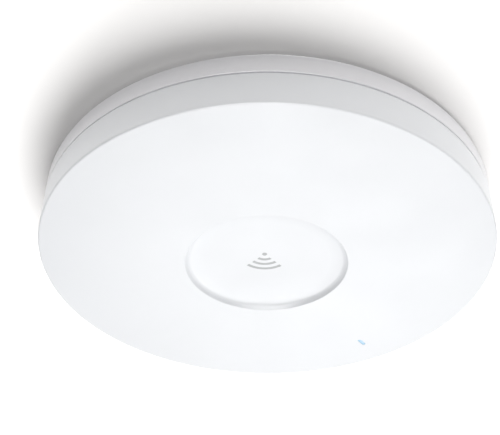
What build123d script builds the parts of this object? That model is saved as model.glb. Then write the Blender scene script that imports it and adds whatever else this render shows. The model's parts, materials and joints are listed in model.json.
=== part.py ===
from build123d import *
import os
from math import cos, sin, tan, radians, degrees, atan2, hypot, acos

# Round ceiling access point hanging under its twist-on bracket. Lengths in millimetres.
# The origin is the middle of the bracket's ceiling face, +Z points up into the ceiling
# and the status light lies on the +Y side of the face.

# ---- overall body ----
overall_diameter = 220.0
body_height = 28.3
ceiling_gap = 1.0
draft = 0.3
wall = 2.2
band_height = 10.3
groove_width = 1.0
groove_depth = 1.4
edge_round = 0.9
seam_round = 0.35

# ---- dish in the face and status light ----
dish_diameter = 79.2
dish_depth = 2.9
dish_crown = 0.2
dish_lift = 6.1
dish_lip = 1.3
dish_lip_depth = 2.0
light_inset = 20.3
light_length = 6.2
light_width = 2.0

# ---- fits ----
gap = 0.3
slide_fit = 0.07
close_fit = 0.05

# ---- bracket ----
bracket_diameter = 144.0
bracket_plate = 2.2
cable_hole_diameter = 42.0
ceiling_screw_circle = 100.0
ceiling_screw_hole = 4.4
box_screw_slot = 4.2
wide_box_spacing = 83.3
wide_box_slot = 10.0
round_box_spacing = 60.0
round_box_slot = 7.0
hook_count = 3
hook_first = 30.0
hook_width_deg = 10.0
hook_inset = 10.0
hook_stem = 2.5
hook_reach = 6.0
hook_foot = 2.0
twist_deg = 15.0

# ---- lock tongue ----
tongue_length = 24.0
tongue_width = 8.0
tongue_thick = 1.0
tongue_inset = 16.0
nib_height = 1.3

# ---- rear housing ----
recess_floor = -2.8
floor_thick = 2.0
bay_half_width = 26.0
bay_back = -22.0
bay_front = 20.0
bay_floor = -16.8
bay_wall = 1.6
vent_length = 15.0
vent_width = 1.6
lock_slot_angle = 120.0
lock_slot_length = 7.0
lock_slot_height = 3.0
lock_slot_z = -6.1

# ---- board and heat sink ----
board_thick = 1.6
board_top = -19.0
heat_plate = 1.6
heat_shoulder = -15.2
chip_height = 1.4
pad_thick = 0.5

# ---- sockets ----
jack_width = 16.0
jack_height = 13.2
jack_depth = 16.5
jack_skin = 0.35
plug_width = 11.9
plug_height = 6.9
power_x = 18.5
power_width = 9.0
power_height = 11.0
power_depth = 14.0
power_bore = 5.7
power_pin = 2.0

# ---- reset button ----
reset_x = -18.0
reset_z = -14.0
reset_cap_radius = 2.2

# ---- aerials ----
aerial_plate = 0.4
aerial_height = 4.7
lead_radius = 0.65

# ---- sizes that follow ----
outer_r = overall_diameter / 2
face_z = -(ceiling_gap + body_height)
rim_z = -ceiling_gap
band_bottom = rim_z - band_height
cover_top = band_bottom - groove_width
face_r = outer_r - draft
groove_r = outer_r - draft * band_height / body_height
dish_r = dish_diameter / 2
light_radius = outer_r - light_inset
inner_r = groove_r - wall
tongue_ring_r = inner_r - gap
recess_r = bracket_diameter / 2 + 2.0
floor_under = recess_floor - floor_thick
back_under = rim_z - wall
boss_circle = outer_r - 13.0
boss_meet = cover_top - 1.8
board_r = outer_r - 28.0
board_under = board_top - board_thick
post_circle = board_r - 7.0
heat_under = heat_shoulder - heat_plate
chip_top = board_top + chip_height
pad_top = chip_top + pad_thick
jack_top = board_top + jack_height
bracket_r = bracket_diameter / 2
hook_inner = bracket_r - hook_inset
tongue_radius = bracket_r - tongue_inset
label_y = -(hook_inner - bay_back) / 2
foot_top = floor_under - gap
post_angles = (0.0, 62.0, 118.0, 180.0, 230.0, 310.0)
boss_angles = (45.0, 135.0, 225.0, 315.0)
aerial_angles = (45.0, 135.0, 225.0, 315.0)
side_aerial_x = outer_r - 17.0


# ---- small building helpers ----
def block(x0, x1, y0, y1, z0, z1):
    """A straight block between two corners."""
    middle = Pos((x0 + x1) / 2, (y0 + y1) / 2, (z0 + z1) / 2)
    return middle * Box(abs(x1 - x0), abs(y1 - y0), abs(z1 - z0))


def drum(radius, z0, z1, x=0.0, y=0.0):
    """An upright cylinder between two heights."""
    return Pos(x, y, (z0 + z1) / 2) * Cylinder(radius, abs(z1 - z0))


def drum_y(radius, y0, y1, x, z):
    """A cylinder lying along Y."""
    return Pos(x, (y0 + y1) / 2, z) * Rot(90, 0, 0) * Cylinder(radius, abs(y1 - y0))


def pill(length, width, z0, z1):
    """An upright bar with round ends, long along X."""
    face = SlotOverall(length, width)
    return Pos(0, 0, min(z0, z1)) * extrude(face, abs(z1 - z0))


def at_angle(shape, angle):
    """The shape turned about the unit's centre line."""
    return Rot(0, 0, angle) * shape


def polar(radius, angle):
    """X and Y of a point on a circle about the centre line."""
    return radius * cos(radians(angle)), radius * sin(radians(angle))


def arc_block(r0, r1, a0, a1, z0, z1):
    """A ring sector between two radii, two angles and two heights."""
    middle = (a0 + a1) / 2
    outline = Polyline(polar(r0, a0), polar(r1, a0))
    outline += ThreePointArc(polar(r1, a0), polar(r1, middle), polar(r1, a1))
    outline += Polyline(polar(r1, a1), polar(r0, a1))
    outline += ThreePointArc(polar(r0, a1), polar(r0, middle), polar(r0, a0))
    return Pos(0, 0, min(z0, z1)) * extrude(make_face(outline), abs(z1 - z0))


def corner_round(before, corner, after):
    """Tangent points and middle of the round at one corner of a section."""
    x, z, radius = corner
    ux, uz = before[0] - x, before[1] - z
    vx, vz = after[0] - x, after[1] - z
    ul, vl = hypot(ux, uz), hypot(vx, vz)
    ux, uz, vx, vz = ux / ul, uz / ul, vx / vl, vz / vl
    half = acos(max(-1.0, min(1.0, ux * vx + uz * vz))) / 2
    run = radius / tan(half)
    bx, bz = ux + vx, uz + vz
    bl = hypot(bx, bz)
    reach = radius / sin(half) - radius
    start = (x + ux * run, z + uz * run)
    end = (x + vx * run, z + vz * run)
    middle = (x + bx / bl * reach, z + bz / bl * reach)
    return start, middle, end


def turned(corners):
    """A solid turned about the centre line from (radius, height, round) corners."""
    count = len(corners)
    corners = [tuple(c) + (0.0,) * (3 - len(c)) for c in corners]
    outline = None
    last = None
    first = None
    for i, corner in enumerate(corners):
        pieces = []
        here = (corner[0], corner[1])
        leave = here
        if corner[2] > 0:
            start, middle, leave = corner_round(corners[i - 1], corner, corners[(i + 1) % count])
            pieces.append(ThreePointArc(start, middle, leave))
            here = start
        if last is not None:
            pieces.insert(0, Line(last, here))
        if first is None:
            first = here
        for piece in pieces:
            outline = piece if outline is None else outline + piece
        last = leave
    outline += Line(last, first)
    return revolve(make_face(Plane.XZ * outline), Axis.Z)


def screw(head_r, head_h, shank_r, length):
    """A pan-head screw seated at the origin, head up, with a cross recess."""
    head = drum(head_r, 0, head_h)
    head = chamfer(head.faces().sort_by(Axis.Z)[-1].edges(), head_h * 0.3)
    body = head + drum(shank_r, -length, 0)
    body = chamfer(body.faces().sort_by(Axis.Z)[0].edges(), shank_r * 0.4)
    arm = head_r * 0.6
    slot = head_r * 0.14
    depth = head_h * 0.55
    body -= block(-arm, arm, -slot, slot, head_h - depth, head_h)
    return body - block(-slot, slot, -arm, arm, head_h - depth, head_h)


# ---- bracket ----
def hook():
    """One twist-lock hook: a stem with an outward foot."""
    half = hook_width_deg / 2
    bottom = foot_top - hook_foot
    stem = arc_block(hook_inner, hook_inner + hook_stem, -half, half, bottom, -bracket_plate)
    foot = arc_block(hook_inner, hook_inner + hook_reach, -half, half, bottom, foot_top)
    return stem + foot


def mounting_bracket():
    plate = drum(bracket_r, -bracket_plate, 0)
    plate = chamfer(plate.faces().sort_by(Axis.Z)[0].edges(), 0.5)
    plate -= drum(cable_hole_diameter / 2, -bracket_plate, 0)
    for angle in boss_angles:
        x, y = polar(ceiling_screw_circle / 2, angle)
        plate -= drum(ceiling_screw_hole / 2, -bracket_plate, 0, x, y)
        sink = Cone(ceiling_screw_hole / 2 + 1.6, ceiling_screw_hole / 2, 1.3)
        plate -= Pos(x, y, -bracket_plate + 0.65) * sink
        plate -= arc_block(30.0, 41.0, angle - 14, angle + 14, -bracket_plate, 0)
    for side in (-1, 1):
        wide = Rot(0, 0, 90) * pill(wide_box_slot + box_screw_slot, box_screw_slot, -bracket_plate, 0)
        plate -= Pos(0, side * wide_box_spacing / 2, 0) * wide
        near = pill(round_box_slot + box_screw_slot, box_screw_slot, -bracket_plate, 0)
        plate -= Pos(side * round_box_spacing / 2, 0, 0) * near
    plate -= tongue_window()
    for angle in (75.0, 195.0, 255.0, 315.0):
        plate -= arc_block(bracket_r - 4.5, bracket_r + 1, angle - 5, angle + 5, -bracket_plate, 0)
    for i in range(hook_count):
        plate += at_angle(hook(), hook_first + i * 360 / hook_count)
    return plate


def tongue_window():
    """The cut in the plate that frees the lock tongue."""
    half = tongue_length / 2
    side = tongue_width / 2 + 0.5
    return block(-half - gap, half + 0.6, tongue_radius - side, tongue_radius + side, -bracket_plate, 0)


def lock_tongue():
    """Springy finger with a nib that runs in the base's arc groove."""
    half = tongue_length / 2
    side = tongue_width / 2
    low = -bracket_plate
    finger = block(-half, half, tongue_radius - side, tongue_radius + side, low, low + tongue_thick)
    root = finger.edges().filter_by(Axis.Y).group_by(Axis.X)[0]
    finger = fillet(root, tongue_thick * 0.499)
    nib = block(half - 4, half - 1, tongue_radius - 2, tongue_radius + 2, low - nib_height, low)
    nib = chamfer(nib.faces().sort_by(Axis.Z)[0].edges().filter_by(Axis.Y), 0.6)
    return finger + nib


# ---- shells ----
def light_slot(length, width, z0, z1):
    """Radial bar shape at the status light's place."""
    return Pos(0, light_radius, 0) * Rot(0, 0, 90) * pill(length, width, z0, z1)


def front_cover():
    inner_face = face_z + wall
    section = [
        (0, face_z + dish_depth + dish_crown),
        (dish_r - dish_lift, face_z + dish_depth, 25.0),
        (dish_r - dish_lip, face_z + dish_lip_depth, 3.0),
        (dish_r, face_z, 0.3),
        (face_r, face_z, edge_round),
        (groove_r, cover_top, seam_round),
        (inner_r, cover_top),
        (inner_r, inner_face, 1.6),
        (dish_r + 1.7, inner_face),
        (dish_r + 0.5, inner_face + dish_lip_depth + 0.1),
        (dish_r - dish_lift + 0.6, inner_face + dish_depth),
        (0, inner_face + dish_depth + dish_crown),
    ]
    cover = turned(section)
    boss = drum(3.6, inner_face - 0.5, boss_meet, boss_circle, 0)
    boss += block(boss_circle, inner_r + 0.6, -0.7, 0.7, inner_face - 0.5, boss_meet - 3)
    boss -= drum(1.45 + close_fit, boss_meet - 9, boss_meet, boss_circle, 0)
    for angle in boss_angles:
        cover += at_angle(boss, angle)
    guide = light_slot(light_length + 5.2, light_width + 5.2, inner_face - 0.5, inner_face + 2.4)
    guide -= light_slot(light_length + 2.8, light_width + 2.8, inner_face, inner_face + 2.4)
    cover += guide
    cover -= light_slot(light_length + 2 * close_fit, light_width + 2 * close_fit, face_z - 1, inner_face)
    for angle in (20.0, 160.0, 200.0, 340.0):
        rib = arc_block(dish_r + 8, inner_r - 14, angle - 0.5, angle + 0.5, inner_face - 0.5, inner_face + 1.0)
        cover += rib
    return cover


def bay():
    """Port bay walls and floor, hanging from the recess floor."""
    w = bay_half_width
    outer = block(-w - bay_wall, w + bay_wall, bay_back - bay_wall, bay_front + bay_wall,
                  bay_floor - bay_wall, floor_under + 0.5)
    outer = fillet(outer.edges().filter_by(Axis.Z), 3.0)
    return outer


def bay_cavity():
    w = bay_half_width
    cavity = block(-w, w, bay_back, bay_front, bay_floor, rim_z)
    return fillet(cavity.edges().filter_by(Axis.Z), 1.5)


def twist_opening():
    """Hook opening: wide where the foot enters, narrow where the hook locks."""
    half = hook_width_deg / 2
    slack = 0.5
    narrow = arc_block(hook_inner - gap, hook_inner + hook_stem + gap,
                       -half - slack, half + twist_deg + slack, floor_under, recess_floor)
    wide = arc_block(hook_inner - gap, hook_inner + hook_reach + 0.4,
                     half + twist_deg - hook_width_deg - slack, half + twist_deg + slack,
                     floor_under, recess_floor)
    return narrow + wide


def twist_pocket():
    """Closed pocket under each hook opening."""
    half = hook_width_deg / 2
    low = foot_top - hook_foot - 0.8
    shell = arc_block(hook_inner - 1.8, hook_inner + hook_reach + 2.0,
                      -half - 2.5, half + twist_deg + 2.5, low - 1.1, floor_under + 0.5)
    hollow = arc_block(hook_inner - 0.6, hook_inner + hook_reach + 0.8,
                       -half - 1.0, half + twist_deg + 1.0, low, floor_under)
    return shell, hollow


def nib_groove_angles():
    """First and last angle of the nib's arc groove."""
    half = tongue_length / 2
    first = atan2(tongue_radius - 2, half - 1)
    last = atan2(tongue_radius + 2, half - 4)
    return degrees(first) - 0.6, degrees(last) + twist_deg + 0.6


def rear_shell():
    section = [
        (0, recess_floor),
        (recess_r, recess_floor, 0.4),
        (recess_r + 0.3, rim_z, 0.4),
        (outer_r, rim_z, 1.0),
        (groove_r, band_bottom, seam_round),
        (groove_r - groove_depth, band_bottom),
        (groove_r - groove_depth, cover_top + 0.2),
        (tongue_ring_r, cover_top + 0.2),
        (tongue_ring_r, cover_top - 3.0, 0.4),
        (tongue_ring_r - 2.1, cover_top - 3.0),
        (tongue_ring_r - 2.1, band_bottom + 1.5),
        (inner_r, band_bottom + 2.5),
        (inner_r, back_under, 1.0),
        (recess_r + 2.2, back_under),
        (recess_r + 2.2, floor_under),
        (0, floor_under),
    ]
    return turned(section)


def vents():
    """Two fans of cooling slots in every quarter of the back."""
    middle = outer_r - 11.5 - vent_length / 2
    slot = Pos(middle, 0, 0) * pill(vent_length, vent_width, back_under - 0.5, rim_z + 0.5)
    cuts = []
    for quarter in range(4):
        for step in range(8):
            cuts.append(at_angle(slot, 90 * quarter + 15 + 3 * step))
            cuts.append(at_angle(slot, 90 * quarter + 54 + 3 * step))
    return cuts


def lock_block():
    """Flat pad inside the band that carries the steel lock plate."""
    pad = block(inner_r - 1.2, inner_r + 1.0, -8, 8, lock_slot_z - 2.6, back_under + 0.5)
    for y in (-6.0, 6.0):
        pad += Pos(inner_r - 1.9, y, lock_slot_z) * Rot(0, 90, 0) * Cylinder(0.9, 2.2)
    return at_angle(pad, lock_slot_angle)


def lock_cut(x0, x1):
    """The security lock slot, lying along the band."""
    low = lock_slot_z - lock_slot_height / 2
    cut = block(x0, x1, -lock_slot_length / 2, lock_slot_length / 2, low, low + lock_slot_height)
    cut = fillet(cut.edges().filter_by(Axis.X), 0.8)
    return at_angle(cut, lock_slot_angle)


def rear_housing():
    body = rear_shell() + bay() + lock_block()
    post = drum(4.0, heat_shoulder, back_under + 0.5, post_circle, 0)
    post += drum(2.6, board_top, heat_shoulder, post_circle, 0)
    for angle in post_angles:
        body += at_angle(post, angle)
    boss = drum(4.4, boss_meet, back_under + 0.5, boss_circle, 0)
    for angle in boss_angles:
        body += at_angle(boss, angle)
    for side in (0, 180):
        for y in (-14.0, 14.0):
            body += at_angle(drum(2.6, -12.0, back_under + 0.5, side_aerial_x + 1.5, y), side)
    shell, hollow = twist_pocket()
    opening = twist_opening()
    first, last = nib_groove_angles()
    low, high = tongue_radius - 1.8, tongue_radius + 3.5
    body += arc_block(low - 1.2, high + 1.1, first - 1.5, last + 1.5, floor_under - 0.8, floor_under + 0.5)
    for i in range(hook_count):
        body += at_angle(shell, hook_first + i * 360 / hook_count)
    body -= bay_cavity()
    for i in range(hook_count):
        body -= at_angle(hollow + opening, hook_first + i * 360 / hook_count)
    body -= arc_block(low, high, first, last, recess_floor - 1.3, recess_floor + 0.5)
    bore = drum(1.2 + close_fit, board_top, board_top + 7.0, post_circle, 0)
    for angle in post_angles:
        body -= at_angle(bore, angle)
    well = drum(3.3, boss_meet + 5.0, rim_z, boss_circle, 0)
    well += drum(1.7, boss_meet, boss_meet + 5.0, boss_circle, 0)
    for angle in boss_angles:
        body -= at_angle(well, angle)
    for side in (0, 180):
        for y in (-14.0, 14.0):
            body -= at_angle(drum(1.0 + close_fit, -12.0, -6.5, side_aerial_x + 1.5, y), side)
    edge = jack_width / 2 + 0.15
    body -= block(-edge, edge, bay_front, bay_front + 3, board_top, jack_top + 0.15)
    side = power_width / 2 + 0.15
    body -= block(power_x - side, power_x + side, bay_front, bay_front + 3,
                  board_top, board_top + power_height + 0.15)
    body -= drum_y(reset_cap_radius + slide_fit, bay_front - 1, bay_front + 3, reset_x, reset_z)
    body -= lock_cut(inner_r - 3, outer_r + 1)
    body -= Pos(0, label_y, recess_floor - 0.15) * Box(48.4, 24.4, 0.3)
    return body - vents()


def rating_label():
    """Blank label in its shallow recess."""
    label = Pos(0, label_y, recess_floor - 0.3 + 0.1) * Box(48, 24, 0.2)
    return fillet(label.edges().filter_by(Axis.Z), 2.0)


def lock_plate():
    """Steel plate behind the lock slot."""
    plate = block(inner_r - 2.2, inner_r - 1.2, -8, 8, lock_slot_z - 2.4, lock_slot_z + 2.4)
    for y in (-6.0, 6.0):
        hole = Pos(inner_r - 1.7, y, lock_slot_z) * Rot(0, 90, 0)
        plate -= hole * Cylinder(0.9 + close_fit, 2.0)
    return at_angle(plate, lock_slot_angle) - lock_cut(inner_r - 4, inner_r)


def light_pipe():
    inner_face = face_z + wall
    pipe = light_slot(light_length, light_width, face_z, board_under - 1.1)
    return pipe + light_slot(light_length + 2.2, light_width + 2.2, inner_face, inner_face + 0.8)


# ---- board and what sits on it ----
def main_board():
    board = drum(board_r, board_under, board_top)
    board += block(-7, 7, board_r - 6, light_radius + 5.3, board_under, board_top)
    board = fillet(board.edges().filter_by(Axis.Z), 2.0)
    for angle in post_angles:
        board -= at_angle(drum(1.6, board_under, board_top, post_circle, 0), angle)
    return board


def heat_sink():
    low = heat_under
    plate = drum(board_r - 14.0, low, heat_shoulder)
    for angle in post_angles:
        plate += at_angle(drum(6.0, low, heat_shoulder, post_circle, 0), angle)
        plate += at_angle(block(board_r - 20, post_circle, -6, 6, low, heat_shoulder), angle)
    plate -= block(-32, 52, -28, 42, low, heat_shoulder)
    for angle in post_angles:
        plate -= at_angle(drum(2.6 + close_fit, low, heat_shoulder, post_circle, 0), angle)
    for x, y, size in hot_chips():
        plate += block(x - size / 2 - 1, x + size / 2 + 1, y - size / 2 - 1, y + size / 2 + 1, pad_top, low)
    for step in range(9):
        y = -24 + 6 * step
        plate -= Pos(-57, y, low + heat_plate / 2) * Box(9, 2.4, heat_plate)
    return plate


def hot_chips():
    """Place and size of the chips cooled through pads."""
    return [(0, 55, 17.0), (-42, -6, 12.0), (-30, -44, 12.0)]


def chip(x, y, width, length, height, z=board_top):
    """A moulded chip on top of the board."""
    body = block(x - width / 2, x + width / 2, y - length / 2, y + length / 2, z, z + height)
    body = chamfer(body.faces().sort_by(Axis.Z)[-1].edges(), 0.15)
    return body - drum(0.45, z + height - 0.12, z + height, x - width / 2 + 1.4, y + length / 2 - 1.4)


def hot_chip(index):
    x, y, size = hot_chips()[index]
    return chip(x, y, size, size, chip_height)


def pad(index):
    x, y, size = hot_chips()[index]
    return block(x - size / 2 + 1, x + size / 2 - 1, y - size / 2 + 1, y + size / 2 - 1, chip_top, pad_top)


def memory_chips():
    return [chip(side * 17, 54, 9, 13, 1.0) for side in (-1, 1)]


def shield(x, y, width, length, height=2.2):
    """A thin screening can under the board, with rows of vent holes."""
    skin = 0.3
    low = board_under - height
    can = block(x - width / 2, x + width / 2, y - length / 2, y + length / 2, low, board_under)
    can = fillet(can.edges().filter_by(Axis.Z), 1.0)
    can -= block(x - width / 2 + skin, x + width / 2 - skin, y - length / 2 + skin, y + length / 2 - skin,
                 low + skin, board_under)
    columns = int((width - 4) // 4)
    rows = int((length - 4) // 4)
    for i in range(columns):
        for j in range(rows):
            hx = x + (i - (columns - 1) / 2) * 4
            hy = y + (j - (rows - 1) / 2) * 4
            can -= drum(0.6, low, low + skin, hx, hy)
    return can


def transformer():
    """Power transformer: core, coil former and wound coil."""
    x, y, z = 40.0, 4.0, board_top
    base = block(x - 6.5, x + 6.5, y - 6.5, y + 6.5, z, z + 1.6)
    core = block(x - 6.5, x + 6.5, y - 3.6, y + 3.6, z + 1.6, z + 9.6)
    coil = drum(5.4, z + 1.6, z + 8.4, x, y)
    return base, core - drum(5.5, z + 1.6, z + 8.4, x, y), coil


def magnetics():
    """Network isolation module with its gull-wing pins."""
    x, y, z = 38.0, -16.0, board_top
    body = block(x - 7.5, x + 7.5, y - 3.6, y + 3.6, z + 0.4, z + 6.0)
    body = chamfer(body.faces().sort_by(Axis.Z)[-1].edges(), 0.4)
    for i in range(10):
        px = x - 6.3 + 1.4 * i
        body += block(px - 0.2, px + 0.2, y - 5.0, y + 5.0, z, z + 0.4)
    return body


def capacitors():
    cans = []
    for x, y in ((34.5, 19.5), (44.5, 19.5), (34.5, 29.5)):
        base = block(x - 4.2, x + 4.2, y - 4.2, y + 4.2, board_top, board_top + 1.2)
        base = chamfer(base.edges().filter_by(Axis.Z)[0:2], 1.2)
        can = drum(4.0, board_top + 1.2, board_top + 8.2, x, y)
        can = fillet(can.faces().sort_by(Axis.Z)[-1].edges(), 0.6)
        cans.append(base + can)
    return cans


def inductors():
    parts = []
    for x, y in ((45.0, 30.0), (-25.5, 33.0)):
        body = block(x - 3.5, x + 3.5, y - 3.5, y + 3.5, board_top, board_top + 4.0)
        parts.append(fillet(body.edges().filter_by(Axis.Z), 0.8))
    return parts


def small_parts():
    """Chip resistors and capacitors in rows beside the main chips."""
    parts = []
    for x, y, count in ((-12.0, 43.6, 13), (-52.0, 5.5, 8), (-44.0, -32.0, 12), (12.0, -36.0, 14)):
        for i in range(count):
            px = x + 2.0 * i
            parts.append(block(px - 0.5, px + 0.5, y - 0.9, y + 0.9, board_top, board_top + 0.6))
    return parts


# ---- network and power sockets ----
def jack_shell():
    half = jack_width / 2
    back = bay_front + jack_depth
    shell = block(-half, half, bay_front, back, board_top, jack_top)
    return shell - block(-half + jack_skin, half - jack_skin, bay_front, back - jack_skin,
                         board_top + jack_skin, jack_top - jack_skin)


def plug_opening():
    """The stepped plug cavity, latch side towards the ceiling."""
    half = plug_width / 2
    low = board_top + 3.2
    high = low + plug_height
    cavity = block(-half, half, bay_front, bay_front + 11.0, low, high)
    cavity += block(-3.15, 3.15, bay_front, bay_front + 8.0, high, high + 1.4)
    return cavity + block(-1.7, 1.7, bay_front, bay_front + 8.0, high + 1.4, high + 2.4)


def jack_insert():
    half = jack_width / 2 - jack_skin
    body = block(-half, half, bay_front + 0.3, bay_front + jack_depth - jack_skin,
                 board_top + jack_skin, jack_top - jack_skin)
    body -= plug_opening()
    for i in range(8):
        x = -3.57 + 1.02 * i
        body -= block(x - 0.3, x + 0.3, bay_front + 1.5, bay_front + 11.0, board_top + 2.2, board_top + 3.3)
    return body


def jack_contacts():
    """Eight sprung contacts sloping up into the plug cavity."""
    contacts = []
    for i in range(8):
        x = -3.57 + 1.02 * i
        low = board_top + 2.2
        side = Polyline((bay_front + 2.2, low), (bay_front + 2.8, low), (bay_front + 11.0, low + 3.4),
                        (bay_front + 11.0, low + 3.9), (bay_front + 2.2, low + 0.35),
                        (bay_front + 2.2, low))
        bar = extrude(make_face(Plane.YZ * side), 0.18, both=True)
        contacts.append(Pos(x, 0, 0) * bar)
    return contacts


def power_socket():
    half = power_width / 2
    axis_z = board_top + 6.0
    body = block(power_x - half, power_x + half, bay_front, bay_front + power_depth,
                 board_top, board_top + power_height)
    body = fillet(body.edges().filter_by(Axis.Y).group_by(Axis.Z)[-1], 1.5)
    return body - drum_y(power_bore / 2, bay_front, bay_front + 9.5, power_x, axis_z)


def power_centre_pin():
    axis_z = board_top + 6.0
    pin = drum_y(power_pin / 2, bay_front + 1.0, bay_front + 9.5, power_x, axis_z)
    return fillet(pin.faces().sort_by(Axis.Y)[0].edges(), 0.5)


# ---- reset button ----
def reset_button():
    cap = drum_y(reset_cap_radius, bay_front - 0.6, bay_front + bay_wall + gap, reset_x, reset_z)
    cap = fillet(cap.faces().sort_by(Axis.Y)[0].edges(), 0.4)
    flange = drum_y(3.2, bay_front + bay_wall + gap, bay_front + bay_wall + gap + 0.8, reset_x, reset_z)
    stem = drum_y(1.3, bay_front + bay_wall + gap + 0.8, bay_front + 3.5, reset_x, reset_z)
    return cap + flange + stem


def reset_plunger():
    return drum_y(1.0, bay_front + 3.6, bay_front + 6.2, reset_x, reset_z)


def reset_switch():
    front = bay_front + 4.8
    body = block(reset_x - 3.0, reset_x + 3.0, front, front + 3.5, board_top, reset_z + 3.0)
    body = chamfer(body.edges().filter_by(Axis.Y).group_by(Axis.Z)[-1], 0.5)
    return body - drum_y(1.0 + slide_fit, front, front + 2.4, reset_x, reset_z)


# ---- aerials and leads ----
def board_aerial(angle):
    """Stamped aerial standing on two legs under the board."""
    low = board_under - aerial_height
    r = board_r - 13.0
    top = block(r - 4, r + 4, -12, 12, low, low + aerial_plate)
    top -= block(r - 1.5, r + 4, -0.8, 9.0, low, low + aerial_plate)
    ground = block(r - 4, r - 4 + aerial_plate, -12, -8, low, board_under)
    feed = block(r - 4, r - 4 + aerial_plate, -5, -3.4, low, board_under)
    foot = block(r - 6, r - 4 + aerial_plate, -12, -8, board_under - aerial_plate, board_under)
    return at_angle(top + ground + feed + foot, angle)


def side_aerial():
    """Flat aerial on two posts at the side of the housing."""
    x = side_aerial_x
    plate = block(x - 4, x + 4.5, -20, 20, -12.8, -12.0)
    plate = fillet(plate.edges().filter_by(Axis.Z), 1.5)
    for y in (-14.0, 14.0):
        plate -= drum(1.3, -12.8, -12.0, x + 1.5, y)
    plate += block(x - 3.5, x - 1.5, 9.6, 11.6, -14.4, -12.8)
    return plate


def side_lead():
    """Thin coaxial lead from the side aerial to its board plug."""
    y = 10.6
    x = side_aerial_x
    start = board_r - 2.5
    path = FilletPolyline((start, y, board_top + 1.5), (start + 3.6, y, board_top + 1.5),
                          (x - 5.6, y, -13.6), (x - 3.5, y, -13.6), radius=1.2)
    section = Plane(origin=(start, y, board_top + 1.5), z_dir=(1, 0, 0)) * Circle(lead_radius)
    return sweep(section, path=path)


def lead_plug():
    x = board_r - 6.0
    y = 10.6
    plug = drum(1.6, board_top + 0.6, board_top + 2.2, x, y)
    return plug + block(x, board_r - 2.5, y - 0.9, y + 0.9, board_top + 0.7, board_top + 2.2)


def lead_socket():
    x = board_r - 6.0
    return block(x - 1.5, x + 1.5, 9.1, 12.1, board_top, board_top + 0.6)


def both_sides(shape):
    return [shape, at_angle(shape, 180)]


# ---- fasteners ----
def case_screws():
    one = Pos(boss_circle, 0, boss_meet + 5.0) * screw(2.8, 2.2, 1.45, 12.5)
    return [at_angle(one, angle) for angle in boss_angles]


def board_screws():
    one = Pos(post_circle, 0, board_under) * Rot(180, 0, 0) * screw(2.5, 1.6, 1.2, 7.6)
    return [at_angle(one, angle) for angle in post_angles]


def aerial_screws():
    screws = []
    for y in (-14.0, 14.0):
        one = Pos(side_aerial_x + 1.5, y, -12.8) * Rot(180, 0, 0) * screw(2.1, 1.4, 1.0, 5.5)
        screws += both_sides(one)
    return screws


def status_led():
    return block(-0.8, 0.8, light_radius - 1.6, light_radius + 1.6, board_under - 0.9, board_under)


def save(name, shape):
    """Write one named part; a list becomes a group of solids."""
    if isinstance(shape, (list, tuple)):
        solids = [solid for item in shape for solid in item.solids()]
        shape = Compound(children=solids)
    export_step(shape, "parts/" + name + ".step")


def main():
    os.makedirs("parts", exist_ok=True)
    save("mounting_bracket", mounting_bracket())
    save("bracket_lock_tongue", lock_tongue())
    save("front_cover", front_cover())
    save("rear_housing", rear_housing())
    save("rating_label", rating_label())
    save("lock_slot_plate", lock_plate())
    save("light_pipe", light_pipe())
    save("status_led", status_led())
    save("main_board", main_board())
    save("heat_sink", heat_sink())
    for index, name in enumerate(("processor", "radio_5g", "radio_2g")):
        save(name + "_chip", hot_chip(index))
        save(name + "_thermal_pad", pad(index))
    save("memory_chips", memory_chips())
    save("flash_chip", chip(20, -44, 8, 6, 1.2))
    save("network_controller_chip", chip(59, 2, 8, 8, 1.0))
    save("radio_5g_shield", shield(-42, -4, 34, 28))
    save("radio_2g_shield", shield(4, -50, 30, 22))
    save("power_amplifier_chips", [chip(x, -7, 4, 4, 0.9, board_under - 0.9) for x in (-52, -42, -32)])
    base, core, coil = transformer()
    save("transformer_base", base)
    save("transformer_core", core)
    save("transformer_coil", coil)
    save("network_isolation_module", magnetics())
    save("bulk_capacitors", capacitors())
    save("power_inductors", inductors())
    save("chip_resistors", small_parts())
    save("ethernet_jack_shell", jack_shell())
    save("ethernet_jack_insert", jack_insert())
    save("ethernet_jack_contacts", jack_contacts())
    save("power_socket_body", power_socket())
    save("power_socket_pin", power_centre_pin())
    save("reset_button", reset_button())
    save("reset_switch_plunger", reset_plunger())
    save("reset_switch_body", reset_switch())
    for number, angle in enumerate(aerial_angles, 1):
        save("board_aerial_" + str(number), board_aerial(angle))
    save("side_aerials", both_sides(side_aerial()))
    save("side_aerial_leads", both_sides(side_lead()))
    save("side_aerial_plugs", both_sides(lead_plug()))
    save("side_aerial_sockets", both_sides(lead_socket()))
    save("case_screws", case_screws())
    save("board_screws", board_screws())
    save("aerial_screws", aerial_screws())


main()
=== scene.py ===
import json
import math

import bmesh
import bpy
from mathutils import Matrix, Vector


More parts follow.
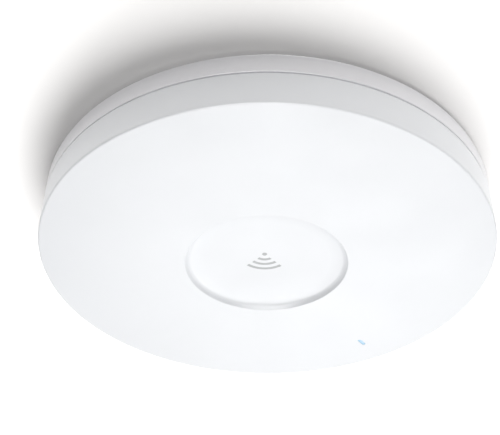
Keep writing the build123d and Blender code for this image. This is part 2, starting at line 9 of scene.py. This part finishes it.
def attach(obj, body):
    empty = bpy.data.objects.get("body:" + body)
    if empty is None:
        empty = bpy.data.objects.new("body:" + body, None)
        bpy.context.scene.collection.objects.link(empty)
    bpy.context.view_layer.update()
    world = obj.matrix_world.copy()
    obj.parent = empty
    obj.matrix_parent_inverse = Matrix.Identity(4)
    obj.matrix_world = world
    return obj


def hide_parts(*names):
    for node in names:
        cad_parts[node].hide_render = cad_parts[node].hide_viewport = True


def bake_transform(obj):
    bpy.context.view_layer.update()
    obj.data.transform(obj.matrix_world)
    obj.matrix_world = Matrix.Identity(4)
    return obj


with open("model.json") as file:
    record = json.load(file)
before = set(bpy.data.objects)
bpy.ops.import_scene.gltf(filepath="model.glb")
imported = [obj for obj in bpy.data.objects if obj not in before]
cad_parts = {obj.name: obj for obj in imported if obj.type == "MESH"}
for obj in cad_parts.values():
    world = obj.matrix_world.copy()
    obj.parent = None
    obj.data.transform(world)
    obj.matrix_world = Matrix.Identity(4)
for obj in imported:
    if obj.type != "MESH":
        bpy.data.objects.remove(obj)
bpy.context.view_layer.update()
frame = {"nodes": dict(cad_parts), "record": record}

# The shells, in metres. The ceiling is at height 0 and the face looks down.
CEILING = 0.0
SEAM = -0.0123
FACE = -0.0293
SEAM_RADIUS = 0.10989
FACE_RADIUS = 0.1097
WALL = 0.0022

# The dish pressed into the face. Its floor bows, and is deepest in the middle.
DISH_RADIUS = 0.0396
DISH_FLOOR_RADIUS = DISH_RADIUS - 0.0061
DISH_DEPTH = 0.0029
DISH_BOW = 0.0002

# The status light's window, with its long side pointing at the centre.
LIGHT_RADIUS = 0.0897
LIGHT_LENGTH = 0.0062
LIGHT_WIDTH = 0.0020
LIGHT_SLOT_FIT = 0.0001
LIGHT_SETBACK = 0.00005
LIGHT_TOP = -0.0217

# The printed mark on the dish floor, with its arcs' sweep in degrees.
INK_THICKNESS = 0.00001
INK_STANDOFF = 0.00003
DOT_RADIUS = 0.0012
ARC_RADII = (0.0044, 0.0082, 0.0120)
ARC_HALF_WIDTH = 0.0008
ARC_SWEEP = 84

# Points nearer than the first gap are merged, and nearer than the second are level.
MERGE_GAP = 1e-7
LEVEL_GAP = 1e-9

# Edges that turn by more degrees than this are sharp.
SHARP_ANGLE = 35

# The unit hangs turned by this much from the line of sight.
TURN = math.radians(37.4)


def across(x, y, z):
    """A point given along the line of sight's right, away and up."""
    return Vector((
        x * math.cos(TURN) - y * math.sin(TURN),
        x * math.sin(TURN) + y * math.cos(TURN),
        z,
    ))


# ------------------------------------------------------------------ materials
class Recipe:
    """A material under construction: its nodes, links and main shader."""

    def __init__(self, name):
        self.material = bpy.data.materials.new(name)
        self.material.use_nodes = True
        self.tree = self.material.node_tree
        self.shader = self.tree.nodes["Principled BSDF"]
        self.place = self.add("ShaderNodeTexCoord").outputs["Object"]

    def add(self, kind, **settings):
        node = self.tree.nodes.new(kind)
        for key, value in settings.items():
            setattr(node, key, value)
        return node

    def link(self, source, target):
        self.tree.links.new(source, target)

    def give(self, socket, value):
        """Links a socket to another, or sets it to a fixed value."""
        if isinstance(value, bpy.types.NodeSocket):
            self.link(value, socket)
        else:
            socket.default_value = value

    def stretched(self, scale, turn=(0, 0, 0)):
        """The piece's own coordinates, scaled and turned."""
        mapping = self.add("ShaderNodeMapping")
        mapping.inputs["Scale"].default_value = scale
        mapping.inputs["Rotation"].default_value = turn
        self.link(self.place, mapping.inputs["Vector"])
        return mapping.outputs["Vector"]

    def noise(self, scale, detail=3.0, rough=0.5, where=None):
        """A cloudy 0-1 pattern."""
        node = self.add("ShaderNodeTexNoise")
        node.inputs["Scale"].default_value = scale
        node.inputs["Detail"].default_value = detail
        node.inputs["Roughness"].default_value = rough
        self.link(self.place if where is None else where, node.inputs["Vector"])
        return node.outputs["Fac"]

    def cells(self, scale, **settings):
        """A pattern of cells; its Distance output grows from each cell's middle."""
        node = self.add("ShaderNodeTexVoronoi", feature="F1", **settings)
        node.inputs["Scale"].default_value = scale
        self.link(self.place, node.inputs["Vector"])
        return node

    def spread(self, value, low=0.0, high=1.0, start=0.3, end=0.7):
        """The part of a pattern from start to end, mapped from low to high."""
        node = self.add("ShaderNodeMapRange")
        node.inputs["From Min"].default_value = start
        node.inputs["From Max"].default_value = end
        node.inputs["To Min"].default_value = low
        node.inputs["To Max"].default_value = high
        self.link(value, node.inputs["Value"])
        return node.outputs["Result"]

    def blend(self, amount, first, second):
        """Two colours mixed by a pattern; the first may be a mix already."""
        node = self.add("ShaderNodeMix", data_type="RGBA")
        self.link(amount, node.inputs["Factor"])
        colours = [s for s in node.inputs if s.type == "RGBA"]
        for socket, value in zip(colours, (first, second)):
            self.give(socket, (*value, 1.0) if isinstance(value, tuple) else value)
        return [s for s in node.outputs if s.type == "RGBA"][0]

    def combine(self, first, second, rule="ADD"):
        """Two numbers put together by one of the Math node's rules."""
        node = self.add("ShaderNodeMath", operation=rule)
        for socket, value in zip(node.inputs, (first, second)):
            self.give(socket, value)
        return node.outputs["Value"]

    def bump(self, height, strength, distance, under=None):
        """Surface relief from a pattern, on top of another relief if there is one."""
        node = self.add("ShaderNodeBump")
        node.inputs["Strength"].default_value = strength
        node.inputs["Distance"].default_value = distance
        self.link(height, node.inputs["Height"])
        if under is not None:
            self.link(under, node.inputs["Normal"])
        return node.outputs["Normal"]

    def finish(self, colour, rough, normal=None, fixed=None):
        """Feeds the shader; 'fixed' holds values that are the same all over."""
        inputs = {"Base Color": colour, "Roughness": rough, **(fixed or {})}
        if normal is not None:
            inputs["Normal"] = normal
        for name, value in inputs.items():
            self.give(self.shader.inputs[name], value)
        return self.material


def darker(colour, share):
    """A colour with this share of its light left."""
    return tuple(channel * share for channel in colour)


def moulded_plastic(name, colour, rough=0.38, grain=0.05, flow=0.025, dust=0.03):
    """Injection-moulded plastic: faint flow tone, fine mould texture, dulled patches."""
    r = Recipe(name)
    cloud = r.noise(14.0, detail=4.0, rough=0.55)
    tone = r.blend(r.spread(cloud), colour, darker(colour, 1 - flow))
    specks = r.spread(r.noise(900.0, detail=2.0, rough=0.6), high=dust, start=0.62, end=0.74)
    tone = r.blend(specks, tone, darker(colour, 0.72))
    patches = r.spread(r.noise(38.0, rough=0.6), rough - 0.05, rough + 0.06)
    fine = r.noise(3600.0, detail=2.0, rough=0.55)
    scuffed = r.stretched((1.0, 5.0, 1.0), turn=(0, 0, 0.6))
    scuffs = r.noise(60.0, detail=6.0, rough=0.7, where=scuffed)
    normal = r.bump(scuffs, 0.03, 0.0002)
    normal = r.bump(fine, grain, 0.00006, under=normal)
    return r.finish(tone, patches, normal, {"IOR": 1.50})


def brushed_metal(name, colour, rough=0.30, stretch=(1.0, 1.0, 60.0)):
    """Rolled or brushed sheet metal with fine lines and finger-dulled patches."""
    r = Recipe(name)
    lines = r.noise(500.0, detail=4.0, rough=0.6, where=r.stretched(stretch))
    cloud = r.noise(70.0, detail=4.0, rough=0.6)
    tone = r.blend(r.spread(lines), colour, darker(colour, 0.82))
    tone = r.blend(r.spread(cloud, high=0.35), tone, darker(colour, 0.70))
    dulled = r.spread(cloud, rough - 0.07, rough + 0.12)
    return r.finish(tone, dulled, r.bump(lines, 0.12, 0.00004), {"Metallic": 1.0})


def circuit_board():
    """Green solder mask with copper tracks, plated holes and a faint glass weave."""
    r = Recipe("circuit_board_green")
    grid = r.cells(210.0, distance="CHEBYCHEV")
    grid.inputs["Randomness"].default_value = 0.55
    track = r.spread(grid.outputs["Distance"], start=0.40, end=0.46)
    holes = r.cells(330.0)
    plated = r.spread(holes.outputs["Distance"], 1.0, 0.0, start=0.10, end=0.14)
    tone = r.blend(track, (0.010, 0.085, 0.035), (0.022, 0.150, 0.062))
    tone = r.blend(plated, tone, (0.62, 0.50, 0.22))
    weave = r.noise(1500.0, detail=2.0)
    normal = r.bump(r.combine(track, plated), 0.25, 0.00006)
    normal = r.bump(weave, 0.05, 0.00003, under=normal)
    return r.finish(tone, r.spread(weave, 0.26, 0.36), normal, {"IOR": 1.5})


def moulded_epoxy(name, colour, rough=0.55):
    """Matt moulded skin of chips, modules, lamps and small boards."""
    r = Recipe(name)
    grain = r.noise(5000.0, rough=0.7)
    lighter = tuple(channel * 1.6 + 0.004 for channel in colour)
    tone = r.blend(r.spread(grain), colour, lighter)
    patches = r.spread(r.noise(300.0), rough - 0.08, rough + 0.08)
    return r.finish(tone, patches, r.bump(grain, 0.15, 0.00003))


def plain_rubber(name, colour):
    """Soft gap filler or cable jacket with a dull, slightly mottled skin."""
    r = Recipe(name)
    mottle = r.noise(700.0, detail=4.0, rough=0.6)
    tone = r.blend(r.spread(mottle), colour, darker(colour, 0.8))
    return r.finish(tone, r.spread(mottle, 0.55, 0.72), r.bump(mottle, 0.2, 0.00005))


def printed_label():
    """Satin film label with plain grey bars, clear margins and no lettering."""
    bar_pitch = 0.0034
    bar_share = 0.45
    break_level = 0.47
    half_length = 0.0200
    half_height = 0.0095
    middle = -0.042
    r = Recipe("printed_label")
    split = r.add("ShaderNodeSeparateXYZ")
    r.link(r.place, split.inputs["Vector"])
    along = split.outputs["X"]
    down = split.outputs["Y"]
    row = r.combine(r.combine(down, bar_pitch, "DIVIDE"), 1.0, "FLOORED_MODULO")
    in_row = r.combine(row, bar_share, "LESS_THAN")
    breaks = r.noise(260.0, detail=1.0, where=r.stretched((1.0, 0.02, 1.0)))
    bars = r.combine(in_row, r.combine(breaks, break_level, "GREATER_THAN"), "MULTIPLY")
    in_length = r.combine(r.combine(along, 0.0, "ABSOLUTE"), half_length, "LESS_THAN")
    from_middle = r.combine(r.combine(down, middle, "SUBTRACT"), 0.0, "ABSOLUTE")
    in_height = r.combine(from_middle, half_height, "LESS_THAN")
    ink = r.combine(bars, r.combine(in_length, in_height, "MULTIPLY"), "MULTIPLY")
    film = r.noise(200.0)
    paper = r.blend(r.spread(film), (0.78, 0.79, 0.80), (0.72, 0.73, 0.745))
    tone = r.blend(ink, paper, (0.20, 0.20, 0.21))
    return r.finish(tone, r.spread(film, 0.36, 0.48), r.bump(film, 0.05, 0.00003))


def lit_window():
    """Milky light guide with the status lamp glowing pale blue behind it."""
    r = Recipe("status_light_lens")
    haze = r.noise(900.0)
    tone = r.blend(r.spread(haze), (0.30, 0.50, 0.66), (0.36, 0.55, 0.70))
    glow = {"IOR": 1.49, "Emission Color": (0.35, 0.62, 0.95, 1.0), "Emission Strength": 0.12}
    return r.finish(tone, r.spread(haze, 0.20, 0.30), r.bump(haze, 0.04, 0.00003), glow)


def gold_plate():
    """Thin gold over the socket's spring contacts."""
    r = Recipe("gold_plate")
    cloud = r.noise(900.0)
    tone = r.blend(r.spread(cloud), (0.83, 0.62, 0.26), (0.72, 0.52, 0.22))
    return r.finish(tone, r.spread(cloud, 0.18, 0.30), r.bump(cloud, 0.05, 0.00002), {"Metallic": 1.0})


def wound_tape():
    """Yellow insulation tape with its wrap lines."""
    r = Recipe("yellow_coil_tape")
    wraps = r.noise(300.0, detail=2.0, where=r.stretched((0.05, 0.05, 3.0)))
    tone = r.blend(r.spread(wraps), (0.80, 0.55, 0.08), (0.66, 0.43, 0.06))
    return r.finish(tone, r.spread(wraps, 0.28, 0.42), r.bump(wraps, 0.2, 0.00006))


def pad_ink():
    """Soft grey pad-printed ink, slightly uneven in tone."""
    r = Recipe("pad_printed_ink")
    mottle = r.noise(1200.0)
    tone = r.blend(r.spread(mottle), (0.40, 0.41, 0.42), (0.46, 0.47, 0.48))
    return r.finish(tone, r.spread(mottle, 0.40, 0.52), r.bump(mottle, 0.08, 0.00002))


FINISHES = {
    "shell_white": moulded_plastic(
        "housing_white_plastic", (0.875, 0.872, 0.895), rough=0.42, grain=0.10),
    "bracket_white": moulded_plastic(
        "bracket_white_plastic", (0.76, 0.77, 0.785), rough=0.48, grain=0.16, flow=0.04, dust=0.05),
    "label_silver": printed_label(),
    "steel_plain": brushed_metal("plain_steel", (0.52, 0.53, 0.54)),
    "light_guide": lit_window(),
    "led_white": moulded_epoxy("lamp_body", (0.70, 0.72, 0.66), rough=0.35),
    "board_green": circuit_board(),
    "heat_aluminium": brushed_metal(
        "rolled_aluminium", (0.76, 0.77, 0.78), rough=0.34, stretch=(60.0, 1.0, 1.0)),
    "chip_black": moulded_epoxy("chip_epoxy", (0.018, 0.018, 0.020)),
    "pad_grey": plain_rubber("thermal_pad_grey", (0.36, 0.42, 0.50)),
    "tin_plate": brushed_metal("tin_plate", (0.74, 0.74, 0.72), rough=0.24, stretch=(1.0, 60.0, 1.0)),
    "core_ferrite": moulded_epoxy("ferrite", (0.055, 0.055, 0.060), rough=0.6),
    "coil_tape": wound_tape(),
    "can_aluminium": brushed_metal("can_aluminium", (0.80, 0.80, 0.81), rough=0.22),
    "resistor_body": moulded_epoxy("resistor_body", (0.20, 0.15, 0.10), rough=0.5),
    "contact_gold": gold_plate(),
    "socket_black": moulded_plastic(
        "socket_black_plastic", (0.022, 0.022, 0.025), rough=0.40, grain=0.12, flow=0.2, dust=0.0),
    "button_grey": moulded_plastic(
        "button_grey_plastic", (0.16, 0.165, 0.175), rough=0.45, grain=0.15, flow=0.08, dust=0.0),
    "plunger_white": moulded_plastic("plunger_plastic", (0.72, 0.72, 0.69), rough=0.35),
    "lead_black": plain_rubber("lead_jacket_black", (0.035, 0.035, 0.037)),
    "aerial_board": moulded_epoxy("aerial_board", (0.02, 0.035, 0.030), rough=0.4),
    "screw_zinc": brushed_metal("zinc_plate", (0.60, 0.61, 0.60), rough=0.28),
}

# The cover and the mark are made here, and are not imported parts.
COVER_PLASTIC = moulded_plastic("cover_white_plastic", (0.835, 0.850, 0.872), rough=0.44, grain=0.06)
MARK_INK = pad_ink()


# ------------------------------------------------------------------ mesh helpers
def mesh_from(name, b):
    """A mesh made from a bmesh, which is used up."""
    mesh = bpy.data.meshes.new(name)
    b.to_mesh(mesh)
    b.free()
    return mesh


def in_scene(name, data):
    """A new object in the scene."""
    thing = bpy.data.objects.new(name, data)
    bpy.context.scene.collection.objects.link(thing)
    return thing


def made_piece(name, b, material, smooth=True):
    """A piece with its points merged, its faces outwards and its material on."""
    bmesh.ops.remove_doubles(b, verts=b.verts, dist=MERGE_GAP)
    bmesh.ops.recalc_face_normals(b, faces=b.faces)
    mesh = mesh_from(name, b)
    mesh.materials.append(material)
    if smooth:
        mesh.shade_smooth()
        mesh.set_sharp_from_angle(angle=math.radians(SHARP_ANGLE))
    return in_scene(name, mesh)


def unit_piece(name, b, material, smooth=True):
    """A piece that rides on the unit's body."""
    piece = made_piece(name, b, material, smooth)
    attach(piece, "access_point")
    return piece


def raise_faces(b, height):
    """Gives a flat shape its thickness, straight up."""
    made = bmesh.ops.extrude_face_region(b, geom=b.faces[:])
    tops = [part for part in made["geom"] if isinstance(part, bmesh.types.BMVert)]
    bmesh.ops.translate(b, verts=tops, vec=(0, 0, height))


def spun(corners):
    """A shell turned about the centre line from (radius, height, rounding) corners."""
    b = bmesh.new()
    points = [b.verts.new((radius, 0.0, height)) for radius, height, _ in corners]
    for first, second in zip(points, points[1:]):
        b.edges.new((first, second))
    for point, (_, _, rounding) in zip(points, corners):
        if rounding > 0:
            bmesh.ops.bevel(b, geom=[point], offset=rounding, offset_type="OFFSET",
                            affect="VERTICES", segments=8, profile=0.5, material=-1)
    bmesh.ops.spin(b, geom=b.verts[:] + b.edges[:], cent=(0, 0, 0), axis=(0, 0, 1),
                   angle=math.tau, steps=256, use_merge=True)
    bmesh.ops.remove_doubles(b, verts=b.verts, dist=MERGE_GAP)
    return b


def light_bar(length, width, low, high, edge=0.0):
    """A round-ended bar between two heights, at the status light's place."""
    b = bmesh.new()
    bmesh.ops.create_circle(b, cap_ends=True, segments=32, radius=width / 2)
    for side in (1, -1):
        end = [v for v in b.verts if v.co.x * side > LEVEL_GAP]
        bmesh.ops.translate(b, verts=end, vec=(side * (length / 2 - width / 2), 0, 0))
    raise_faces(b, high - low)
    bmesh.ops.translate(b, verts=b.verts, vec=(0, 0, low))
    if edge > 0:
        rims = [e for e in b.edges if all(abs(v.co.z - low) < LEVEL_GAP for v in e.verts)]
        bmesh.ops.bevel(b, geom=rims, offset=edge, offset_type="OFFSET",
                        affect="EDGES", segments=3, profile=0.5, material=-1)
    quarter = Matrix.Rotation(math.pi / 2, 3, "Z")
    bmesh.ops.rotate(b, verts=b.verts, cent=(0, 0, 0), matrix=quarter)
    bmesh.ops.translate(b, verts=b.verts, vec=(0, LIGHT_RADIUS, 0))
    return b


def carve(piece, b):
    """Cuts a closed tool shape out of a piece and throws the tool away."""
    bmesh.ops.recalc_face_normals(b, faces=b.faces)
    tool = in_scene("carving_tool", mesh_from("carving_tool", b))
    cut = piece.modifiers.new("cut", "BOOLEAN")
    cut.object = tool
    cut.operation = "DIFFERENCE"
    cut.solver = "EXACT"
    bpy.context.view_layer.objects.active = piece
    with bpy.context.temp_override(object=piece, active_object=piece, selected_objects=[piece]):
        bpy.ops.object.modifier_apply(modifier="cut")
    bpy.data.objects.remove(tool)


# ------------------------------------------------------------------ front cover and light
def make_cover():
    """White cover: upright skirt, crisp edge, flat face and pressed dish."""
    inner = FACE + WALL
    skirt_inner = SEAM_RADIUS - WALL
    overrun = 0.001
    b = spun([
        # Outside, from the middle of the dish to the seam.
        (0.0, FACE + DISH_DEPTH + DISH_BOW, 0),
        (DISH_FLOOR_RADIUS, FACE + DISH_DEPTH, 0.0024),
        (DISH_RADIUS - 0.0013, FACE + 0.0020, 0.0013),
        (DISH_RADIUS, FACE, 0.0003),
        (FACE_RADIUS, FACE, 0.0009),
        (SEAM_RADIUS, SEAM, 0.0003),
        # Inside, back to the middle.
        (skirt_inner, SEAM, 0),
        (skirt_inner, inner, 0.0012),
        (DISH_RADIUS + 0.0017, inner, 0.0004),
        (DISH_RADIUS + 0.0005, inner + 0.0021, 0.0006),
        (DISH_RADIUS - 0.0055, inner + DISH_DEPTH, 0.0015),
        (0.0, inner + DISH_DEPTH + DISH_BOW, 0),
    ])
    cover = unit_piece("cover_shell", b, COVER_PLASTIC)
    length = LIGHT_LENGTH + LIGHT_SLOT_FIT
    width = LIGHT_WIDTH + LIGHT_SLOT_FIT
    carve(cover, light_bar(length, width, FACE - overrun, inner + overrun))
    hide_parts("front_cover")


def make_status_window():
    """Light guide a hair back from the face, reaching up inside the cover."""
    b = light_bar(LIGHT_LENGTH, LIGHT_WIDTH, FACE + LIGHT_SETBACK, LIGHT_TOP, edge=0.0002)
    window = unit_piece("status_light_window", b, FINISHES["light_guide"])
    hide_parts("light_pipe")


# ------------------------------------------------------------------ printed mark
def dish_height(radius):
    """Height of the ink's lower side at a radius, just proud of the dish floor."""
    return FACE + DISH_DEPTH + DISH_BOW * (1 - radius / DISH_FLOOR_RADIUS) - INK_STANDOFF


def printed_film(name, b):
    """Ink film held a hair off the dish floor, so that the two skins never mix."""
    for v in b.verts:
        v.co.z = dish_height(math.hypot(v.co.x, v.co.y))
    raise_faces(b, INK_THICKNESS)
    unit_piece(name, b, MARK_INK, smooth=False)


def make_dish_mark():
    """Plain printed mark: a dot, and three widening arcs that fan out from it."""
    foot = across(-0.001, -0.006, 0)
    heading = TURN + math.radians(90)
    turn = Matrix.Rotation(heading - math.radians(ARC_SWEEP / 2), 3, "Z")
    dot = bmesh.new()
    bmesh.ops.create_circle(dot, cap_ends=False, segments=36, radius=DOT_RADIUS)
    bmesh.ops.holes_fill(dot, edges=dot.edges[:], sides=0)
    bmesh.ops.translate(dot, verts=dot.verts, vec=foot)
    printed_film("mark_dot", dot)
    for number, radius in enumerate(ARC_RADII, start=1):
        arc = bmesh.new()
        inner = arc.verts.new((radius - ARC_HALF_WIDTH, 0, 0))
        outer = arc.verts.new((radius + ARC_HALF_WIDTH, 0, 0))
        stroke = arc.edges.new((inner, outer))
        bmesh.ops.spin(arc, geom=[inner, outer, stroke], cent=(0, 0, 0), axis=(0, 0, 1),
                       angle=math.radians(ARC_SWEEP), steps=28, use_merge=False)
        bmesh.ops.rotate(arc, verts=arc.verts, cent=(0, 0, 0), matrix=turn)
        bmesh.ops.translate(arc, verts=arc.verts, vec=foot)
        printed_film("mark_arc_%d" % number, arc)


# ------------------------------------------------------------------ bracket's lock tongue
def make_tongue_strap():
    """Thin web that joins the lock tongue to the bracket."""
    length = 0.0012
    width = 0.0076
    thickness = 0.0005
    root = (-0.0120, 0.056, -0.00195)
    b = bmesh.new()
    bmesh.ops.create_grid(b, x_segments=8, y_segments=1, size=0.5)
    bmesh.ops.scale(b, verts=b.verts, vec=(length, width, 1))
    bmesh.ops.translate(b, verts=b.verts, vec=root)
    raise_faces(b, thickness)
    strap = made_piece("tongue_strap", b, FINISHES["bracket_white"], smooth=False)
    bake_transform(strap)


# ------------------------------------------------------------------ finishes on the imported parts
def dress_packed_parts():
    """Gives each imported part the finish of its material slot."""
    slots = {part["node"]: part["material_slot"] for part in frame["record"]["subparts"]}
    for node, thing in frame["nodes"].items():
        thing.data.materials.clear()
        thing.data.materials.append(FINISHES[slots[node]])


# ------------------------------------------------------------------ stage, light and camera
def ceiling_paint():
    """Flat pale paint that is clear when seen from above."""
    r = Recipe("ceiling_paint")
    tone = r.blend(r.spread(r.noise(9.0)), (0.66, 0.652, 0.645), (0.65, 0.642, 0.635))
    r.finish(tone, 0.9)
    choose = r.add("ShaderNodeMixShader")
    r.link(r.add("ShaderNodeNewGeometry").outputs["Backfacing"], choose.inputs[0])
    r.link(r.shader.outputs[0], choose.inputs[1])
    r.link(r.add("ShaderNodeBsdfTransparent").outputs[0], choose.inputs[2])
    r.link(choose.outputs[0], r.tree.nodes["Material Output"].inputs["Surface"])
    return r.material


def make_ceiling():
    """Pale ceiling around the unit, open over the bracket and clear from above."""
    opening = 0.104
    widening = 30
    clearance = 0.0002
    b = bmesh.new()
    bmesh.ops.create_circle(b, cap_ends=False, segments=128, radius=opening)
    made = bmesh.ops.extrude_edge_only(b, edges=b.edges[:])
    outer = [part for part in made["geom"] if isinstance(part, bmesh.types.BMVert)]
    bmesh.ops.scale(b, verts=outer, vec=(widening, widening, 1))
    bmesh.ops.translate(b, verts=b.verts, vec=(0, 0, CEILING + clearance))
    mesh = mesh_from("ceiling", b)
    mesh.materials.append(ceiling_paint())
    ceiling = in_scene("ceiling", mesh)
    return ceiling


def linked_to(name, thing, state):
    """A light's list of one thing, which it includes or leaves out."""
    listed = bpy.data.collections.new(name)
    listed.objects.link(thing)
    listed.collection_objects[0].light_linking.link_state = state
    return listed


def make_light(name, azimuth, below, reach, size, power,
               only=None, skip=None, through=None, diffuse=True):
    """A round soft box aimed at the unit from some degrees round it and below the ceiling.

    It lights 'only', or all but 'skip', and shines past 'through'. Without diffuse it only
    draws highlights.
    """
    around = math.radians(azimuth)
    down = math.radians(below)
    outward = reach * math.cos(down)
    place = across(outward * math.cos(around), outward * math.sin(around), -reach * math.sin(down))
    aim = across(0, 0, -0.015)
    lamp = bpy.data.lights.new(name, "AREA")
    lamp.shape = "DISK"
    lamp.size = size
    lamp.energy = power
    thing = in_scene(name, lamp)
    thing.location = place
    thing.rotation_mode = "QUATERNION"
    thing.rotation_quaternion = (aim - place).to_track_quat("-Z", "Y")
    thing.visible_diffuse = diffuse
    linking = thing.light_linking
    if only:
        linking.receiver_collection = linked_to(name + "_receivers", only, "INCLUDE")
    if skip:
        linking.receiver_collection = linked_to(name + "_receivers", skip, "EXCLUDE")
    if through:
        linking.blocker_collection = linked_to(name + "_blockers", through, "EXCLUDE")


def make_world(strength, backdrop):
    """Even studio light, with a paler backdrop than the light it gives."""
    world = bpy.data.worlds.new("studio")
    bpy.context.scene.world = world
    world.use_nodes = True
    nodes = world.node_tree.nodes
    links = world.node_tree.links
    back = nodes["Background"]
    back.inputs["Color"].default_value = (1.0, 1.0, 1.0, 1.0)
    seen = nodes.new("ShaderNodeLightPath").outputs["Is Camera Ray"]
    level = nodes.new("ShaderNodeMapRange")
    level.inputs["To Min"].default_value = strength
    level.inputs["To Max"].default_value = backdrop
    links.new(seen, level.inputs["Value"])
    links.new(level.outputs["Result"], back.inputs["Strength"])


def make_camera():
    """Camera below the unit, looking up at its face."""
    rise = math.radians(38.45)
    roll = math.radians(0.9)
    distance = 0.41327
    to_left = 0.008357
    upward = 0.023765
    ahead = across(0, math.cos(rise), math.sin(rise))
    right = across(1, 0, 0)
    up = right.cross(ahead)
    place = Vector((0, 0, FACE)) - ahead * distance - right * to_left + up * upward
    rolled_right = right * math.cos(roll) + up * math.sin(roll)
    rolled_up = up * math.cos(roll) - right * math.sin(roll)
    lens = bpy.data.cameras.new("camera")
    lens.lens = 61.03
    lens.sensor_width = 36.0
    lens.clip_start = 0.01
    camera = in_scene("camera", lens)
    camera.matrix_world = Matrix((
        (rolled_right.x, rolled_up.x, -ahead.x, place.x),
        (rolled_right.y, rolled_up.y, -ahead.y, place.y),
        (rolled_right.z, rolled_up.z, -ahead.z, place.z),
        (0, 0, 0, 1),
    ))
    bpy.context.scene.camera = camera


dress_packed_parts()
make_cover()
make_status_window()
make_dish_mark()
make_tongue_strap()
ceiling = make_ceiling()
make_world(strength=0.5, backdrop=0.86)
make_light("key", azimuth=82, below=50, reach=2.0, size=1.5, power=27.5, skip=ceiling)
make_light("ceiling_wash", azimuth=63, below=58, reach=1.2, size=1.2, power=27.5, only=ceiling)
make_light("ceiling_edge", azimuth=104, below=22.4, reach=1.2, size=0.67, power=12.5, only=ceiling)
make_light("side_fill", azimuth=-15, below=14, reach=1.2, size=0.6, power=2.0, skip=ceiling)
make_light("edge_strip", azimuth=-95, below=54, reach=1.2, size=1.2, power=48.0,
           skip=ceiling, diffuse=False)
make_light("bench_lamp", azimuth=37, below=-82, reach=1.4, size=0.5, power=6.5,
           skip=ceiling, through=ceiling)
make_camera()
bpy.context.scene.view_settings.view_transform = "Standard"
